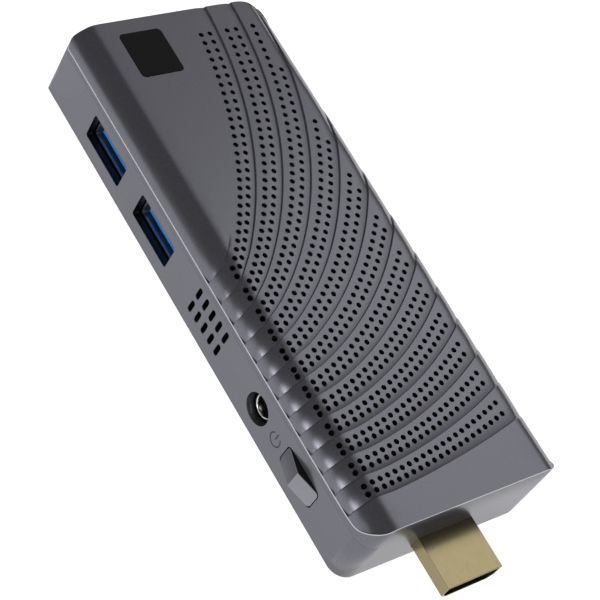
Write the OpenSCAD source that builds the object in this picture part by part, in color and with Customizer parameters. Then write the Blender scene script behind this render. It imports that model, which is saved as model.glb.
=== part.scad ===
/* [Case] */
// Length of the case, without the plug
body_l = 120; // [112:0.5:130]
// Width of the case, across the two long walls
body_w = 48; // [46:0.5:52]
// Height of the straight side walls, up to the edge of the shoulders
side_h = 13.2; // [12.6:0.1:15]
// Radius of the two rounded shoulders along the long sides
shoulder_r = 5.2; // [4.6:0.1:5.6]
// Radius of the two upright corners at the plug end
corner_plug = 3.8; // [3:0.1:4.6]
// Radius of the upright corner between the blank end and the port wall
corner_near = 1; // [0.8:0.1:2]
// Radius of the upright corner between the blank end and the far wall
corner_far = 8; // [6:0.1:9]
// Thickness of the side and end walls
wall = 1.8; // [1.6:0.1:2]
// Thickness of the floor of the lower case
floor_t = 1.8; // [1.5:0.1:2.2]
// Thickness of the cover's roof
roof_t = 1.6; // [1.3:0.1:2]
// Drop from the shoulder edge to the seam between cover and lower case
seam_drop = 1.1; // [0.9:0.1:1.5]
// Gap of the seam
seam_gap = 0.12; // [0.08:0.02:0.2]
// Height of the tongue that locates the cover in the lower case
lip_h = 0.9; // [0.7:0.05:1]
// Thickness of that tongue
lip_t = 0.8; // [0.6:0.05:0.9]
// Chamfer round the bottom edge
foot_chamfer = 0.3; // [0.2:0.05:0.5]

/* [Ridged cover] */
// Number of ridges on the cover
ridges = 12; // [10:1:12]
// Depth of the crease between two ridges
crease_depth = 0.5; // [0.3:0.05:0.6]
// Diameter of the vent holes in the ridges
vent_d = 1.1; // [0.8:0.05:1.2]
// Spacing of the vent holes along a row
vent_step = 2.2; // [2:0.05:2.6]
// Fewest gaps between holes in a row
vent_least = 20; // [16:1:22]
// Distance from the port wall to the first hole of each row
row_start = 3.4; // [3:0.1:4]
// Distance from the far wall to the last hole of a row
row_end = 7; // [6:0.1:9]
// Distance from the blank end to the last hole of a long row
row_back = 7; // [6:0.5:9]
// Side of the plain badge recess along the length
badge_l = 11.1; // [9:0.1:12]
// Side of the plain badge recess across the width
badge_w = 10.1; // [9:0.1:12]
// Distance from the blank end to the badge
badge_x = 3.6; // [3:0.1:5]
// Distance from the port wall to the badge
badge_y = 8.6; // [7:0.1:9.5]

/* [Circuit board] */
// Height of the pillars under the circuit board
pillar_h = 0.9; // [0.8:0.1:1.3]
// Thickness of the circuit board
board_t = 1.2; // [1:0.1:1.4]
// Room between the circuit board and the walls
board_gap = 0.6; // [0.4:0.1:1]

/* [USB sockets] */
// Gap between the blower and the nearer socket
usb_gap = 0.75; // [0.5:0.05:1.5]
// Share of the free wall on the blank side that lies between the two sockets
usb_share = 0.7845; // [0.5:0.0005:0.9]
// Outer width of a socket's metal shell
usb_w = 13.1; // [12.9:0.05:13.3]
// Outer height of a socket's metal shell
usb_h = 5.7; // [5.6:0.05:5.9]
// Depth of a socket's metal shell
usb_l = 14; // [12:0.5:15]
// Thickness of the shell's sheet metal
usb_t = 0.35; // [0.25:0.05:0.4]
// Margin of the case opening round a socket
port_margin = 0.3; // [0.2:0.05:0.4]

/* [Power inlet and key] */
// Distance from the plug end to the middle of the power inlet
inlet_x = 35.1; // [34:0.1:36]
// Radius of the round opening in the case for the power plug
inlet_r = 3.38; // [3.2:0.02:3.5]
// Radius of the plug bore in the inlet
inlet_bore_r = 2.15; // [2:0.05:2.3]
// Distance from the plug end to the middle of the power key
key_x = 19.5; // [18:0.1:21]
// Width of the opening for the power key
key_w = 11.3; // [10:0.1:12]
// Height of the opening for the power key
key_h = 5.3; // [4.6:0.1:5.6]
// Clearance all round the power key
key_gap = 0.2; // [0.15:0.05:0.3]
// How far the ridge of the key stands out from the wall
key_proud = 1.5; // [1:0.1:2]
// Travel of the key when it is pressed
key_travel = 0.5; // [0.3:0.05:0.6]

/* [HDMI plug] */
// Distance from the port wall to the middle of the plug
plug_y = 23.1; // [22:0.1:25]
// Width of the plug's shell, set by the connector standard
plug_w = 13.9; // [13.8:0.05:14]
// Height of the plug's shell, set by the connector standard
plug_h = 4.45; // [4.4:0.05:4.5]
// Length of the plug outside the case
plug_l = 11; // [10.5:0.1:12]
// Bevel on the two lower corners of the plug
plug_bevel = 1.35; // [1:0.05:1.4]

/* [Cooling] */
// Distance from the plug end to the middle of the side vent and the blower
fan_x = 55.1; // [54:0.1:56]
// Side of the square blower
fan_w = 30; // [28:0.5:31]
// Height of the blower
fan_h = 6.4; // [5.5:0.1:6.8]
// Radius of the blower wheel
wheel_r = 12; // [11:0.1:12.4]
// Number of blades on the blower wheel
blades = 19; // [11:1:23]
// Columns of slots in the side vent
slot_columns = 5; // [3:1:5]
// Spacing of the slots along the wall
slot_pitch = 2.61; // [2.4:0.01:2.8]
// Width of a slot
slot_w = 1.2; // [1:0.05:1.4]
// Height of a slot
slot_h = 3.1; // [2.6:0.1:3.3]

/* [Far side] */
// Distance from the plug end to the middle of the sound jack
sound_x = 27; // [25:0.1:29]
// Radius of the sound jack's bore
sound_r = 1.8; // [1.78:0.01:1.85]
// Gap between the blower and the card socket
card_gap = 2.9; // [2.4:0.1:3.4]

/* [Hidden] */
$fn = 48;
fit = 0.1;
x_plug = body_l / 2;
x_blank = -body_l / 2;
y_port = -body_w / 2;
y_far = body_w / 2;
top_h = side_h + shoulder_r;
seam_z = side_h - seam_drop;
corners = [[1, -1, corner_plug], [1, 1, corner_plug], [-1, 1, corner_far], [-1, -1, corner_near]];
corner_least = 0.6;
roof_z = top_h - roof_t;

// The circuit board and what stands on it
board_z = floor_t + pillar_h;
board_top = board_z + board_t;

// Plain badge in the cover
badge_at = [x_blank + badge_x + badge_l / 2, y_port + badge_y + badge_w / 2];
badge_deep = 0.3;
badge_proud = 0.05;
badge_corner = 1;

// Corner posts, which take the four case screws
post_r = 2.8;
post_in = 7;
post_x = x_plug - post_in;
post_y = y_far - post_in;
post_top = board_top + 3;
boss_r = 2.4;
screw_r = 0.95;
pilot_r = screw_r + 0.05;
head_r = 1.8;
head_h = 1.2;
head_deep = 0.5;
boss_grip = 4;

// Pillars under the board and their screws
pillar_r = 2;
pillar_screw_r = 0.6;
pillar_head_r = 1.3;
pillar_head_h = 0.6;
pillar_bite = 0.5;
pillar_screw_l = board_t + pillar_h + pillar_bite;
pillar_blank_far = [22, 4.6];
pillar_blank_near = [12.5, 6];
pillar_plug_near = [9.5, 14.5];
pillar_plug_far = [20, 4.6];
pillar_at = [
    [x_blank + pillar_blank_far[0], y_far - pillar_blank_far[1]],
    [x_blank + pillar_blank_near[0], y_port + pillar_blank_near[1]],
    [x_plug - pillar_plug_near[0], y_port + pillar_plug_near[1]],
    [x_plug - pillar_plug_far[0], y_far - pillar_plug_far[1]]
];

// The fan of ridges: foot, lean and bend of the arc numbered s, counted from the plug end
fan_foot = [-8.3, -4.72, 0.1184, -0.0084];
fan_lean = [2.04, -0.19, 0.488, -0.0093];
fan_bend = [0.0056, 0.003546, -0.0006365, 0.0000471, -0.00000139];
fan_base = 2.94;
row_apart = 0.345;
roll_from = -0.16;
crease_at = -0.29;
foot_drift = 0.4;
drift_from = 3.4;
roll_steps = 4;
rim_angle = 3;
toe_rings = 4;
toe_wide = 0.3;
toe_deep = 0.4;
fade_from = 5;
fade_rings = 4;
over = 0.6;
skim = 0.03;

function poly(c, s, i = 0) = i < len(c) ? c[i] * pow(s, i) + poly(c, s, i + 1) : 0;
function arc_r(s) = 1 / poly(fan_bend, s);
function arc_mid(s) = [
    poly(fan_foot, s) - arc_r(s) * cos(poly(fan_lean, s)),
    fan_base - arc_r(s) * sin(poly(fan_lean, s))
];
function arc_point(s, a) = arc_mid(s) + arc_r(s) * [cos(a), sin(a)];
function angle_at_y(s, y) = y - arc_mid(s)[1] >= arc_r(s) ? 180 : asin((y - arc_mid(s)[1]) / arc_r(s));
function angle_at_x(s, x) = abs(x - arc_mid(s)[0]) >= arc_r(s) ? 180 : acos((x - arc_mid(s)[0]) / arc_r(s));
function arc_end(s, far, back) = min(angle_at_y(s, body_w - far), angle_at_x(s, back - body_l));

// Height and outward slope of the cover's skin at a distance y from the port wall
function inset(y) = max(0, shoulder_r - max(0, min(y, body_w - y)));
function skin_z(y) = sqrt(max(0, shoulder_r * shoulder_r - inset(y) * inset(y)));
function skin_out(y) = [
    0,
    (y < body_w / 2 ? -1 : 1) * inset(y) / shoulder_r,
    skin_z(y) / shoulder_r
];
function skin(p) = [x_plug + p[0], y_port + p[1], side_h + skin_z(p[1])];

// Points along an arc: first over the near shoulder at set heights, then on by angle to its end
near_steps = 6;
long_steps = 16;
rim_y = shoulder_r * (1 - cos(rim_angle));
function near_y(i) = shoulder_r * (1 - cos(rim_angle + (90 - rim_angle) * i / near_steps));
function drift_y(y) = y < drift_from ? drift_from + (y - drift_from) * foot_drift : y;
function near_point(s, y) = [arc_point(s, angle_at_y(s, drift_y(y)))[0], y];
function long_share(i) = 1 - pow(1 - i / long_steps, 2);
function long_point(s, i) = arc_point(
    s,
    angle_at_y(s, shoulder_r)
        + (arc_end(s, rim_y, -over) - angle_at_y(s, shoulder_r)) * long_share(i)
);
function path_point(s, i) = i < near_steps ? near_point(s, near_y(i)) : long_point(s, i - near_steps);

// One cut along a crease: a convex roll down to the crease, then a step up to the next ridge
// The roll is wider and deeper at the toes on the near shoulder, and the last crease fades out on the roof
function toe(i) = max(0, 1 - i / toe_rings);
function fade(n, i) = n < ridges ? 1 : min(1, max(0, 1 - (i - fade_from) / fade_rings));
function roll_drop(n, i, k) =
    let (share = fade(n, i) * pow(k / roll_steps, 2))
    share * (crease_depth + toe_deep * toe(i)) - (1 - share) * skim;
function roll_s(n, i, k) =
    let (from = roll_from + toe_wide * toe(i))
    n + from + (crease_at - from) * k / roll_steps;
function cut_point(n, i, k, lift) =
    let (p = path_point(roll_s(n, i, k), i))
    skin(p) + skin_out(p[1]) * lift;
function cut_ring(n, i) = concat(
    [for (k = [0:roll_steps]) cut_point(n, i, k, -roll_drop(n, i, k))],
    [cut_point(n, i, roll_steps, over), cut_point(n, i, 0, over)]
);

// Power key, switch and inlet
key_up = 2.95;
key_z = board_top + key_up;
key_corner = 1;
key_ear = 0.8;
key_ear_t = 0.8;
key_stem_r = 1.4;
switch_w = 6.4;
switch_h = 4.6;
switch_l = 3.4;
switch_in = 3.6;
switch_y = y_port + wall + switch_in;
plunger_r = 0.9;
plunger_out = 0.7;
plunger_in = 1.2;
plunger_y = switch_y - plunger_out;
inlet_up = 2.6;
inlet_z = board_top + inlet_up;
inlet_w = 6.6;
inlet_h = 5.4;
inlet_l = 10.5;
inlet_nose = 1.2;
inlet_nose_r = 2.6;
inlet_deep = 8.5;
sleeve_t = 0.25;
sleeve_l = 6;
pin_r = 0.6;
pin_l = 7;

// USB sockets, beside the blower
vent_x = x_plug - fan_x;
usb_z = board_top + usb_h / 2;
usb_front = y_port + wall + fit;
usb_back = usb_front + usb_l;
usb_last = vent_x - fan_w / 2 - usb_gap - usb_w;
usb_first = x_blank + pillar_blank_near[0] + pillar_head_r + fit;
usb_free = usb_last - usb_first - usb_w;
usb_mid = [usb_last - usb_free * usb_share - usb_w / 2, usb_last + usb_w / 2];
tongue_w = 11.1;
tongue_t = 1.84;
tongue_up = 0.9;
tongue_z = board_top + usb_t + tongue_up;
tongue_back = 1;
block_l = 4.5;
window_w = 2.1;
window_l = 2.4;
window_x = 2.9;
window_in = 1.6;
usb_corner = 0.6;
usb_inner_corner = 0.3;
usb_pad_w = 1;
usb_pad_back = 0.6;
usb_pad_pitch = 2.3;
usb_pad_t = 0.12;
usb_pads = 4;

// HDMI plug
plug_up = 1.3;
plug_z = board_top + plug_up;
plug_t = 0.35;
plug_in = 6;
plug_mid_y = y_port + plug_y;
plug_block_l = 5;
slot_deep = 8;
slot_side = 1;
plug_mouth = 0.9;
slot_tall = 1.9;
contacts_w = 0.3;
contacts_t = 0.12;
contact_pitch = 1;
contacts_row = 10;

// Cooling
chip_l = 22;
chip_w = 15;
chip_t = 1.1;
die_l = 12;
die_w = 9;
die_t = 0.35;
pad_t = 0.25;
plate_z = board_top + chip_t + die_t + pad_t;
plate_t = 1.4;
fan_z = plate_z + plate_t;
fan_y1 = y_far - wall - board_gap;
fan_y0 = fan_y1 - fan_w;
fan_mid_y = fan_y1 - fan_w / 2;
fan_wall = 0.8;
fan_floor = 0.6;
fan_lid_t = 0.5;
fan_lip = 2.5;
slot_rows = 4.25;
slot_up = 0.3;
slot_z = usb_z + slot_up;
fan_corner = 2;
wheel_gap = 0.5;
hub_r = 6;
hub_t = 1;
coil_r = 4.6;
coil_drop = 0.4;
blade_t = 0.5;
blade_lean = 32;
blade_l = (wheel_r - hub_r) / cos(blade_lean) * 0.93;
wheel_z0 = fan_z + fan_floor + wheel_gap;
wheel_z1 = fan_z + fan_h - fan_lid_t - wheel_gap;
cool_at = [vent_x, fan_mid_y];
shaft_r = 0.75;
shaft_gap = 0.06;
bearing_r = 2;
bearing_h = 2.4;
fin_t = 0.5;
fin_pitch = 1.7;
fins = 13;
fin_h = fan_h;
fin_clear = 0.5;
fin_gap = 0.8;
fin_y0 = y_port + wall + fin_gap;
fin_w = (fins - 1) * fin_pitch + fin_t;
leg_r = 1.6;
leg_screw_r = 0.6;
leg_in = 2;
leg_grip = 1.5;
leg_at = [for (x = [-1, 1], y = [fan_y0 + leg_in, fan_y1 - leg_in]) [vent_x + x * (fan_w / 2 - leg_in), y]];
fan_screw_r = 0.6;
fan_screw_head_r = 1.1;
fan_screw_at = [for (c = [[-1, -1], [-1, 1], [1, 1]]) cool_at + c * (fan_w / 2 - leg_in)];
wire_r = 0.35;
wire_apart = 1.2;
wire_up = 1;
lead_l = 3;
lead_off = 6;
lead_y = fan_mid_y + lead_off;
fan_plug_l = 3;
fan_plug_w = 3.4;
fan_plug_h = 2.6;

// Wireless board, clock cell, card socket and sound jack
radio_l = 12;
radio_w = 15;
radio_t = 0.8;
radio_in = 2.4;
radio_gap = 1.5;
radio_x = x_blank + wall + board_gap + radio_in;
radio_y = usb_back + radio_gap;
can_in = 1;
can_h = 1.6;
can_t = 0.25;
aerial_l = 20;
aerial_h = 6;
aerial_t = 0.3;
aerial_up = 1;
aerial_y = radio_y + radio_w / 2;
coax_r = 0.5;
coax_plug_r = 1.1;
coax_z = board_top + radio_t + can_h + coax_r + fit;
cell_r = 6.25;
cell_t = 2;
clip_t = 0.5;
clip_r = cell_r + fit + clip_t;
cell_apart = 1.4;
cell_x = radio_x + radio_l + cell_apart + clip_r;
cell_y = usb_back + cell_apart + clip_r;
cell_side = 0.8;
clip_gap = 0.6;
card_w = 14;
card_l = 14.6;
card_h = 1.5;
card_t = 0.2;
card_slot_w = 11.8;
card_slot_h = 1.3;
card_slot_corner = 0.4;
card_stop = 1.5;
card_mid = vent_x - fan_w / 2 - card_gap - card_w / 2;
sound_mid = x_plug - sound_x;
sound_up = 2.5;
sound_z = board_top + sound_up;
sound_w = 6;
sound_l = 11;
sound_h = 5;
sound_nose_r = 2.6;
sound_deep = 10;

// Chips and small components on the board
ram_l = 11.5;
ram_w = 7.5;
ram_t = 1;
ram_in = 2;
ram_x = vent_x + fan_w / 2 + ram_in + ram_l / 2;
ram_y0 = usb_front + inlet_l;
ram_gap = (lead_y - fan_plug_w / 2 - ram_y0 - 2 * ram_w) / 3;
ram_at = [for (i = [0, 1]) [ram_x, ram_y0 + (i + 1) * ram_gap + (i + 0.5) * ram_w]];
store_l = 11.5;
store_w = 13;
store_gap = [0.75, 2.5];
store_x = x_plug - plug_in - plug_block_l - store_gap[0] - store_l / 2;
store_y = y_far - pillar_plug_far[1] - pillar_head_r - store_gap[1] - store_w / 2;
coil_w = 4.2;
coil_h = 2.8;
coil_pitch = 4.6;
coils = 3;
coil_gap = 0.2;
coil_off = 5;
coil_x = ram_x + ram_l / 2 + coil_gap + coil_w / 2;
coil_y = plug_mid_y - coil_off;
power_chip_w = 5;
power_chip_t = 0.9;
power_chip_y = 10;
cap_l = 2;
cap_w = 1.2;
caps = 5;
cap_pitch = 2.6;
cap_off = 2.5;

// Rectangle with round corners, about its middle
module plate_2d(l, w, r) {
    square([l - 2 * r, w], center = true);
    square([l, w - 2 * r], center = true);
    for (x = [-1, 1], y = [-1, 1])
        translate([x * (l / 2 - r), y * (w / 2 - r)])
            circle(r);
}

// Plan outline of the case, moved out by grow, or in where grow is negative
function round_r(c, grow) = max(c[2] + grow, corner_least);
function round_mid(c, grow) = [
    c[0] * (body_l / 2 + grow - round_r(c, grow)),
    c[1] * (body_w / 2 + grow - round_r(c, grow))
];
function round_ends(c, grow) =
    let (
        m = round_mid(c, grow),
        a = [m[0], c[1] * (body_w / 2 + grow)],
        b = [c[0] * (body_l / 2 + grow), m[1]]
    )
    c[0] * c[1] < 0 ? [a, b] : [b, a];
module outline_2d(grow) {
    polygon([for (c = corners) each round_ends(c, grow)]);
    for (c = corners)
        translate(round_mid(c, grow))
            circle(round_r(c, grow));
}

// Upright block with the plan outline of the case, standing at height z
module block(grow, h, z) {
    translate([0, 0, z])
        linear_extrude(h)
            outline_2d(grow);
}

// Box standing on height z, about its middle
module box(l, w, h, at, z) {
    translate([at[0] - l / 2, at[1] - w / 2, z])
        cube([l, w, h]);
}

// Opening through a long wall, drawn in the plane of that wall
module wall_cut(x, z, y, deep) {
    translate([x, y, z])
        rotate([-90, 0, 0])
            linear_extrude(deep)
                mirror([0, 1, 0])
                    children();
}

// Case section across the width: flat roof, two round shoulders and straight sides
module case_section(w, z0, z1, r) {
    translate([-w / 2, z0])
        square([w, z1 - r - z0]);
    translate([-w / 2 + r, z0])
        square([w - 2 * r, z1 - z0]);
    for (y = [-1, 1])
        translate([y * (w / 2 - r), z1 - r])
            circle(r);
}

// The section run along the length and trimmed to the plan outline
module case_form(grow, z0, z1, r) {
    intersection() {
        translate([-body_l / 2 - grow, 0, 0])
            rotate([90, 0, 90])
                linear_extrude(body_l + 2 * grow)
                    case_section(body_w + 2 * grow, z0, z1, r);
        block(grow, z1 - z0 + 1, z0);
    }
}

// Swept cut for the crease on the plug side of ridge n
module crease_cut(n) {
    rings = n < ridges ? near_steps + long_steps + 1 : fade_from + fade_rings + 1;
    sides = roll_steps + 3;
    last = (rings - 1) * sides;
    points = [for (i = [0:rings - 1]) each cut_ring(n, i)];
    skins = [
        for (i = [0:rings - 2], k = [0:sides - 1])
            let (a = i * sides + k, b = i * sides + (k + 1) % sides)
            each [[a, b, a + sides], [b, b + sides, a + sides]]
    ];
    top = roll_steps + 1;
    caps = [
        for (k = [1:sides - 2])
            let (a = (top + k) % sides, b = (top + k + 1) % sides)
            each [[top, b, a], [last + top, last + a, last + b]]
    ];
    polyhedron(points, concat(skins, caps));
}

// Both rows of vent holes on ridge n
module vent_rows(n) {
    for (s = [n, n + row_apart]) {
        first = angle_at_y(s, row_start);
        last = arc_end(s, row_end, row_back);
        gaps = max(vent_least, round(arc_r(s) * (last - first) * PI / 180 / vent_step));
        for (i = [0:gaps]) {
            p = skin(arc_point(s, first + (last - first) * i / gaps));
            translate([p[0], p[1], side_h])
                cylinder(d = vent_d, h = shoulder_r + 1);
        }
    }
}

// Slot with round ends, upright
module slot_2d(w, h) {
    square([w, h - w], center = true);
    for (y = [-1, 1])
        translate([0, y * (h - w) / 2])
            circle(w / 2);
}

// Plug outline seen from the front: square top corners, bevelled lower corners
module plug_2d(w, h, bevel) {
    polygon([
        [-w / 2, h / 2],
        [w / 2, h / 2],
        [w / 2, -h / 2 + bevel],
        [w / 2 - bevel, -h / 2],
        [-w / 2 + bevel, -h / 2],
        [-w / 2, -h / 2 + bevel]
    ]);
}

// Shape run along the length from x0, drawn looking at the plug end
module along_x(x0, l) {
    translate([x0, plug_mid_y, plug_z])
        rotate([90, 0, 90])
            linear_extrude(l)
                children();
}

// Round bar along the width, from y0 in the direction of the far wall
module bar_y(x, y0, z, r, l) {
    translate([x, y0, z])
        rotate([-90, 0, 0])
            cylinder(r = r, h = l);
}

// Foot of the case, with its chamfer along each side and round each corner
module foot() {
    block(-foot_chamfer, foot_chamfer, 0);
    for (i = [0:3]) {
        c = corners[i];
        from = round_ends(c, 0)[1];
        to = round_ends(corners[(i + 1) % 4], 0)[0];
        translate(round_mid(c, 0))
            cylinder(r1 = round_r(c, 0) - foot_chamfer, r2 = round_r(c, 0), h = foot_chamfer);
        translate(from)
            rotate(atan2(to[1] - from[1], to[0] - from[0]))
                rotate([90, 0, 90])
                    linear_extrude(norm(to - from))
                        polygon([[foot_chamfer, 0], [1, 0], [1, foot_chamfer], [0, foot_chamfer]]);
    }
}

// Lower case: tray with posts, pillars, locating tongue and the openings for the sockets
module bottom_case() {
    rim_z = seam_z - seam_gap;
    color("#57575d")
    difference() {
        union() {
            difference() {
                union() {
                    foot();
                    block(0, rim_z - foot_chamfer, foot_chamfer);
                    block(lip_t - wall, seam_gap + lip_h, rim_z);
                }
                block(-wall, top_h, floor_t);
            }
            for (x = [-1, 1], y = [-1, 1])
                translate([x * post_x, y * post_y, floor_t / 2])
                    cylinder(r = post_r, h = post_top - floor_t / 2);
            for (p = pillar_at)
                translate([p[0], p[1], floor_t / 2])
                    cylinder(r = pillar_r, h = board_z - floor_t / 2);
        }
        for (x = [-1, 1], y = [-1, 1])
            translate([x * post_x, y * post_y, 0]) {
                translate([0, 0, -1])
                    cylinder(r = screw_r + 2 * fit, h = post_top + 2);
                translate([0, 0, -1])
                    cylinder(r = head_r + 2 * fit, h = 1 + head_deep + head_h);
            }
        for (p = pillar_at)
            translate([p[0], p[1], board_top - pillar_screw_l - fit])
                cylinder(r = pillar_screw_r + fit / 2, h = pillar_screw_l);
        for (i = [0, 1])
            wall_cut(usb_mid[i], usb_z, y_port - 1, wall + 2)
                plate_2d(usb_w + 2 * port_margin, usb_h + 2 * port_margin, usb_corner);
        for (i = [0:slot_columns - 1], z = [-1, 1])
            wall_cut(vent_x + (i - (slot_columns - 1) / 2) * slot_pitch, slot_z + z * slot_rows / 2, y_port - 1, wall + 2)
                slot_2d(slot_w, slot_h);
        bar_y(x_plug - inlet_x, y_port - 1, inlet_z, inlet_r, wall + 2);
        wall_cut(x_plug - key_x, key_z, y_port - 1, wall + 2)
            plate_2d(key_w, key_h, key_corner);
        along_x(x_plug - wall - 1, wall + 2)
            plug_2d(plug_w + 2 * fit, plug_h + 2 * fit, plug_bevel);
        wall_cut(card_mid, board_top + card_h / 2, y_far - wall - 1, wall + 2)
            plate_2d(card_slot_w + 2 * fit, card_slot_h + 2 * fit, card_slot_corner);
        bar_y(sound_mid, y_far - wall - 1, sound_z, sound_nose_r + fit, wall + 2);
    }
}

// Cover: shell with shoulders, ridges and vent holes, and bosses for the case screws
module top_cover() {
    color("#515157")
    difference() {
        union() {
            difference() {
                case_form(0, seam_z, top_h, shoulder_r);
                case_form(-wall, seam_z - 1, roof_z, shoulder_r - roof_t);
                block(lip_t + fit - wall, lip_h + fit + 1, seam_z - 1);
            }
            for (x = [-1, 1], y = [-1, 1])
                translate([x * post_x, y * post_y, post_top + fit])
                    cylinder(r = boss_r, h = roof_z + roof_t / 2 - post_top - fit);
        }
        for (n = [0:ridges])
            crease_cut(n);
        for (n = [0:ridges - 1])
            vent_rows(n);
        for (x = [-1, 1], y = [-1, 1])
            translate([x * post_x, y * post_y, post_top])
                cylinder(r = pilot_r, h = boss_grip + 1);
        translate([badge_at[0], badge_at[1], top_h - badge_deep])
            linear_extrude(badge_deep + 1)
                plate_2d(badge_l + 2 * fit, badge_w + 2 * fit, badge_corner);
    }
}

// Plain gloss plate set in the cover's recess
module badge() {
    color("#16161a")
    translate([badge_at[0], badge_at[1], top_h - badge_deep])
        linear_extrude(badge_deep + badge_proud)
            plate_2d(badge_l, badge_w, badge_corner);
}

// Power key: roof-shaped front, two side ears behind the wall and a stem to the switch
module power_key() {
    x = x_plug - key_x;
    half = key_w / 2 - key_gap;
    tall = key_h - 2 * key_gap;
    ear_y = y_port + wall + fit;
    ear_end = half + key_gap + key_ear;
    color("#5b5b62") {
        intersection() {
            translate([x, 0, key_z - tall / 2])
                linear_extrude(tall)
                    polygon([
                        [-half, y_port],
                        [0, y_port - key_proud],
                        [half, y_port],
                        [half, ear_y + key_ear_t],
                        [-half, ear_y + key_ear_t]
                    ]);
            wall_cut(x, key_z, y_port - key_proud, ear_y + key_ear_t - y_port + key_proud)
                plate_2d(2 * half, tall, key_corner - key_gap);
        }
        translate([x - ear_end, ear_y, key_z - tall / 2])
            cube([2 * ear_end, key_ear_t, tall]);
        bar_y(x, ear_y, key_z, key_stem_r, plunger_y - ear_y);
    }
}

// Side-push switch: housing on the board with a bore for its plunger
module switch_body() {
    x = x_plug - key_x;
    color("#26262a")
    difference() {
        translate([x - switch_w / 2, switch_y, board_top])
            cube([switch_w, switch_l, switch_h]);
        bar_y(x, switch_y - 1, key_z, plunger_r + fit, 1 + plunger_in + key_travel + fit);
    }
}

// Plunger of the switch, which the key pushes in
module switch_plunger() {
    color("#c9a24a")
    bar_y(x_plug - key_x, plunger_y, key_z, plunger_r, plunger_out + plunger_in);
}

// Circuit board with holes for posts and screws and a notch for the plug
module main_board() {
    notch_x = x_plug - plug_in - 2 * fit;
    color("#1d4a33")
    difference() {
        block(-wall - board_gap, board_t, board_z);
        for (x = [-1, 1], y = [-1, 1])
            translate([x * post_x, y * post_y, board_z - 1])
                cylinder(r = post_r + 4 * fit, h = board_t + 2);
        for (p = pillar_at)
            translate([p[0], p[1], board_z - 1])
                cylinder(r = pillar_screw_r + fit, h = board_t + 2);
        for (p = leg_at)
            translate([p[0], p[1], board_z - 1])
                cylinder(r = leg_screw_r + fit, h = board_t + 2);
        translate([notch_x, plug_mid_y - plug_w / 2 - 3 * fit, board_z - 1])
            cube([body_l, plug_w + 6 * fit, board_t + 2]);
    }
}

// Plug shell: folded sheet metal, open at both ends
module hdmi_shell() {
    color("#c8b57e")
    difference() {
        along_x(x_plug - plug_in, plug_in + plug_l)
            plug_2d(plug_w, plug_h, plug_bevel);
        along_x(x_plug - plug_in - 1, plug_in + plug_l + 2)
            plug_2d(plug_w - 2 * plug_t, plug_h - 2 * plug_t, plug_bevel);
    }
}

// Plug insert: filler with the mating slot, and the block that sits on the board
module hdmi_insert() {
    inside_w = plug_w - 2 * plug_t - fit;
    inside_h = plug_h - 2 * plug_t - fit;
    color("#1b1b1d")
    difference() {
        union() {
            along_x(x_plug - plug_in, plug_in + plug_l - plug_mouth)
                plug_2d(inside_w, inside_h, plug_bevel);
            translate([x_plug - plug_in - plug_block_l, plug_mid_y - inside_w / 2, board_top])
                cube([plug_block_l, inside_w, plug_z + inside_h / 2 - board_top]);
        }
        along_x(x_plug + plug_l - plug_mouth - slot_deep, slot_deep + 1)
            square([inside_w - 2 * slot_side, slot_tall], center = true);
    }
}

// Contacts of the plug: two rows of strips on the slot's upper and lower faces
module hdmi_contacts() {
    color("#d9b95c")
    for (row = [-1, 1]) {
        count = row > 0 ? contacts_row : contacts_row - 1;
        for (i = [0:count - 1])
            translate([
                x_plug + plug_l - plug_mouth - slot_deep,
                plug_mid_y + (i - (count - 1) / 2) * contact_pitch - contacts_w / 2,
                plug_z + row * (slot_tall - contacts_t) / 2 - contacts_t / 2
            ])
                cube([slot_deep - 1, contacts_w, contacts_t]);
    }
}

// Socket shell: sheet-metal box, open at the wall, with spring windows above and below
module usb_shell(i) {
    x = usb_mid[i];
    color("#b9bac0")
    difference() {
        translate([x, usb_front, usb_z])
            rotate([-90, 0, 0])
                linear_extrude(usb_l)
                    plate_2d(usb_w, usb_h, usb_corner);
        translate([x, usb_front - 1, usb_z])
            rotate([-90, 0, 0])
                linear_extrude(usb_l - usb_t + 1)
                    plate_2d(usb_w - 2 * usb_t, usb_h - 2 * usb_t, usb_inner_corner);
        for (side = [-1, 1])
            translate([x + side * window_x - window_w / 2, usb_front + window_in, board_top - 1])
                cube([window_w, window_l, usb_h + 2]);
    }
}

// Socket tongue: blue moulding, tongue low in the shell, block closing the back
module usb_tongue(i) {
    x = usb_mid[i];
    back = usb_front + usb_l - usb_t - fit / 2;
    color("#2f6fd0") {
        translate([x, back - block_l, usb_z])
            rotate([-90, 0, 0])
                linear_extrude(block_l)
                    plate_2d(usb_w - 2 * usb_t - fit, usb_h - 2 * usb_t - fit, usb_inner_corner);
        translate([x - tongue_w / 2, usb_front + tongue_back, tongue_z])
            cube([tongue_w, back - usb_front - tongue_back - 1, tongue_t]);
    }
}

// Socket contacts: strips along the top of the tongue
module usb_contacts(i) {
    x = usb_mid[i];
    front = usb_front + tongue_back + usb_pad_back;
    back = usb_front + usb_l - usb_t - fit / 2 - block_l;
    color("#d9b95c")
    for (k = [0:usb_pads - 1])
        translate([x + (k - (usb_pads - 1) / 2) * usb_pad_pitch - usb_pad_w / 2, front, tongue_z + tongue_t])
            cube([usb_pad_w, back - front, usb_pad_t]);
}

module usb_shell_1() { usb_shell(0); }
module usb_shell_2() { usb_shell(1); }
module usb_tongue_1() { usb_tongue(0); }
module usb_tongue_2() { usb_tongue(1); }
module usb_contacts_1() { usb_contacts(0); }
module usb_contacts_2() { usb_contacts(1); }

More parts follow.
